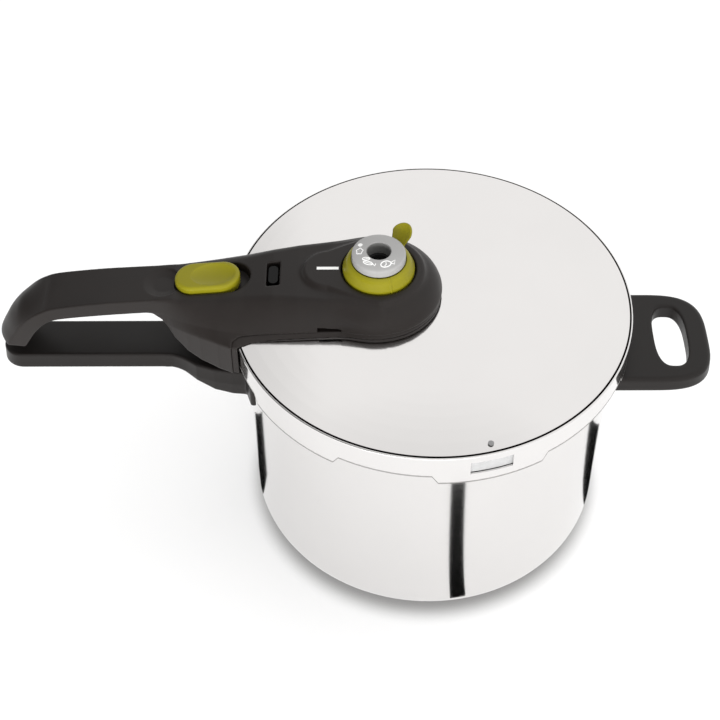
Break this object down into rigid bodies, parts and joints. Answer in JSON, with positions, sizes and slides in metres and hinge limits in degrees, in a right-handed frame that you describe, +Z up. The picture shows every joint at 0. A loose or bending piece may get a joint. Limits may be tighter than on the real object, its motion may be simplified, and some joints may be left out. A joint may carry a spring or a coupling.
{
  "type": "stovetop pressure cooker",
  "caption": "Stovetop pressure cooker: steel pot with a turning bayonet lid, overlapping long handles, slide lock, steam selector dial and pressure indicator.",
  "frame": {"origin": "centre of the pot's base on the plane it stands on", "axes": "+Z up, the long handles point along -X and the helper handle along +X, +Y completes the right-handed frame"},
  "size_m": [0.4388, 0.243, 0.2148],
  "materials": {
    "pot_shell": "mirror-polished stainless steel",
    "base_core": "raw aluminium, hidden under the steel cap",
    "base_cap": "spun and brushed stainless steel",
    "long_bracket": "spot-welded steel bracket",
    "pot_long_handle": "fine-grained black phenolic plastic",
    "long_handle_screw": "plated slotted screw",
    "helper_bracket": "spot-welded steel bracket",
    "helper_handle": "fine-grained black phenolic plastic",
    "helper_screws": "plated slotted screws",
    "gasket": "pale translucent silicone",
    "lid_shell": "mirror-polished stainless steel",
    "lid_rivet": "plain grey rivet",
    "handle_base": "fine-grained black plastic",
    "handle_cover": "fine-grained black plastic",
    "handle_screws": "plated slotted screws",
    "index_mark": "white filled mark",
    "steam_pipe": "turned stainless steel",
    "pipe_washer": "pale silicone",
    "pipe_nut": "plated hexagon nut",
    "safety_body": "turned brass",
    "safety_nut": "plated hexagon nut",
    "safety_ball": "ground steel ball",
    "safety_spring": "spring steel wire",
    "indicator_bush": "grey silicone grommet",
    "indicator_pin": "smooth black plastic",
    "indicator_seal": "grey silicone ring",
    "lock_button": "satin olive-green plastic",
    "lock_bolt": "stamped steel",
    "valve_core": "dark grey heat-proof plastic",
    "valve_retainer": "stamped steel",
    "valve_needle": "turned brass",
    "valve_spring": "spring steel wire",
    "selector_ring": "satin olive-green plastic",
    "dial_cap": "satin light grey plastic",
    "dial_icons": "white printed marks"
  },
  "bodies": {
    "pot": {"pot_shell": "pot_shell", "base_core": "base_core", "base_cap": "base_cap", "long_bracket": "long_bracket", "pot_long_handle": "pot_long_handle", "long_handle_screw": "long_handle_screw", "helper_bracket": "helper_bracket", "helper_handle": "helper_handle", "helper_screws": "helper_screws"},
    "seal": {"gasket": "gasket"},
    "lid": {"lid_shell": "lid_shell", "lid_rivet": "lid_rivet", "handle_base": "handle_base", "handle_cover": "handle_cover", "handle_screws": "handle_screws", "index_mark": "index_mark", "steam_pipe": "steam_pipe", "pipe_washer": "pipe_washer", "pipe_nut": "pipe_nut", "safety_body": "safety_body", "safety_nut": "safety_nut", "safety_spring": "safety_spring", "indicator_bush": "indicator_bush"},
    "safety": {"safety_ball": "safety_ball"},
    "indicator": {"indicator_pin": "indicator_pin", "indicator_seal": "indicator_seal"},
    "lock": {"lock_button": "lock_button", "lock_bolt": "lock_bolt"},
    "valve": {"valve_core": "valve_core", "valve_retainer": "valve_retainer", "valve_spring": "valve_spring"},
    "needle": {"valve_needle": "valve_needle"},
    "selector": {"selector_ring": "selector_ring", "dial_cap": "dial_cap", "dial_icons": "dial_icons"}
  },
  "joints": [
    {"name": "lid_lift", "type": "slide", "parent": "pot", "child": "seal", "axis": [0, 0, 1], "range_m": [0, 0.1]},
    {"name": "lid_turn", "type": "hinge", "parent": "seal", "child": "lid", "pos_m": [0, 0, 0.1725], "axis": [0, 0, 1], "range_deg": [0, 29]},
    {"name": "lock_slide", "type": "slide", "parent": "lid", "child": "lock", "axis": [1, 0, 0], "range_m": [0, 0.0055]},
    {"name": "valve_lift", "type": "slide", "parent": "lid", "child": "valve", "axis": [0, 0, 1], "range_m": [0, 0.03]},
    {"name": "selector_turn", "type": "hinge", "parent": "valve", "child": "selector", "pos_m": [-0.0323, 0, 0.2], "axis": [0, 0, 1], "range_deg": [-90, 29]},
    {"name": "indicator_rise", "type": "slide", "parent": "lid", "child": "indicator", "axis": [0, 0, 1], "range_m": [0, 0.003]},
    {"name": "safety_lift", "type": "slide", "parent": "lid", "child": "safety", "axis": [0, 0, 1], "range_m": [0, 0.0015], "stiffness_N_per_m": 1000, "springref_m": -0.0025, "deforming": ["safety_spring"]},
    {"name": "needle_lift", "type": "slide", "parent": "valve", "child": "needle", "axis": [0, 0, 1], "range_m": [0, 0.0015], "stiffness_N_per_m": 400, "springref_m": -0.0025, "deforming": ["valve_spring"]}
  ]
}
